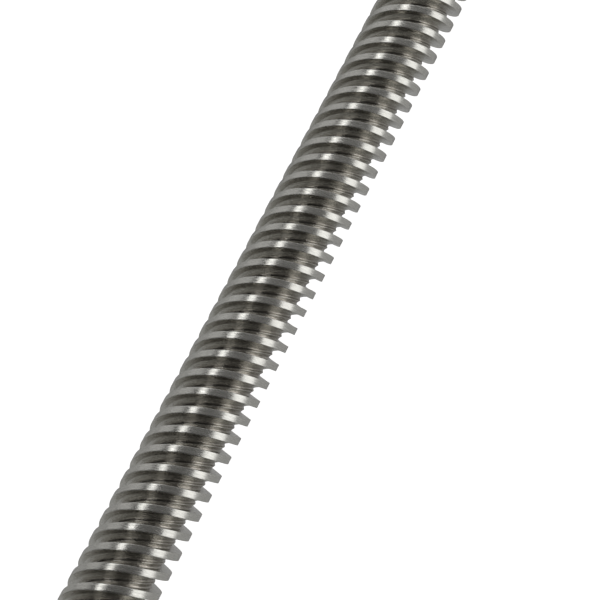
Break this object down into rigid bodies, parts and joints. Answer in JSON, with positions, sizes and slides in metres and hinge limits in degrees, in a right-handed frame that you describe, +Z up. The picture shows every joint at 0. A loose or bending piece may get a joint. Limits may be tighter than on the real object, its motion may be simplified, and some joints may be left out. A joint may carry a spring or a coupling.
{
  "type": "lead screw assembly",
  "caption": "Right-hand four-start lead screw with steep flanks, a spring-loaded flanged nut, a pillow block bearing near each end and a jaw coupling for a motor shaft.",
  "frame": {"origin": "on the mounting plane, under the middle of the whole drive", "axes": "+X along the screw from the motor end to the far end, +Z up from the mounting plane"},
  "size_m": [0.217, 0.055, 0.029],
  "materials": {
    "stainless_steel": "bright, rolled",
    "brass": "turned",
    "spring_steel": "drawn, satin",
    "zinc_casting": "die cast, satin",
    "bearing_steel": "ground",
    "aluminium": "turned, satin",
    "black_steel": "black oxide",
    "polyurethane": "moulded, satin"
  },
  "bodies": {
    "supports": {"drive_block_housing": "zinc_casting", "drive_block_bearing_outer_ring": "bearing_steel", "drive_block_bearing_shield_back": "bearing_steel", "drive_block_bearing_shield_front": "bearing_steel", "far_block_housing": "zinc_casting", "far_block_bearing_outer_ring": "bearing_steel", "far_block_bearing_shield_back": "bearing_steel", "far_block_bearing_shield_front": "bearing_steel"},
    "screw": {"lead_screw": "stainless_steel", "drive_block_bearing_inner_ring": "bearing_steel", "drive_block_bearing_set_screw_1": "black_steel", "drive_block_bearing_set_screw_2": "black_steel", "far_block_bearing_inner_ring": "bearing_steel", "far_block_bearing_set_screw_1": "black_steel", "far_block_bearing_set_screw_2": "black_steel", "coupling_screw_hub": "aluminium", "coupling_motor_hub": "aluminium", "coupling_screw_hub_clamp_screw": "black_steel", "coupling_motor_hub_clamp_screw": "black_steel", "coupling_spider": "polyurethane"},
    "nut": {"nut_flange_half": "brass", "nut_spring": "spring_steel"},
    "nut_take_up_half": {"nut_sprung_half": "brass"},
    "drive_ball_set": {"drive_block_bearing_cage": "spring_steel", "drive_block_bearing_ball_1": "bearing_steel", "drive_block_bearing_ball_2": "bearing_steel", "drive_block_bearing_ball_3": "bearing_steel", "drive_block_bearing_ball_4": "bearing_steel", "drive_block_bearing_ball_5": "bearing_steel", "drive_block_bearing_ball_6": "bearing_steel", "drive_block_bearing_ball_7": "bearing_steel"},
    "far_ball_set": {"far_block_bearing_cage": "spring_steel", "far_block_bearing_ball_1": "bearing_steel", "far_block_bearing_ball_2": "bearing_steel", "far_block_bearing_ball_3": "bearing_steel", "far_block_bearing_ball_4": "bearing_steel", "far_block_bearing_ball_5": "bearing_steel", "far_block_bearing_ball_6": "bearing_steel", "far_block_bearing_ball_7": "bearing_steel"}
  },
  "joints": [
    {"name": "screw_spin", "type": "hinge", "parent": "supports", "child": "screw", "pos_m": [0, 0, 0.015], "axis": [1, 0, 0], "range_deg": [0, 5400]},
    {"name": "nut_travel", "type": "slide", "parent": "supports", "child": "nut", "axis": [1, 0, 0], "range_m": [-0.12, 0]},
    {"name": "nut_take_up", "type": "slide", "parent": "nut", "child": "nut_take_up_half", "axis": [1, 0, 0], "range_m": [-0.00015, 0], "stiffness_N_per_m": 500, "springref_m": 0.002},
    {"name": "drive_cage_spin", "type": "hinge", "parent": "supports", "child": "drive_ball_set", "pos_m": [-0.0705, 0, 0.015], "axis": [1, 0, 0], "range_deg": [0, 1987.2]},
    {"name": "far_cage_spin", "type": "hinge", "parent": "supports", "child": "far_ball_set", "pos_m": [0.0965, 0, 0.015], "axis": [1, 0, 0], "range_deg": [0, 1987.2]}
  ],
  "couplings": [
    {"joint": "nut_travel", "follows": "screw_spin", "m_per_rad": -0.0012732},
    {"joint": "drive_cage_spin", "follows": "screw_spin", "ratio": 0.368},
    {"joint": "far_cage_spin", "follows": "screw_spin", "ratio": 0.368}
  ]
}
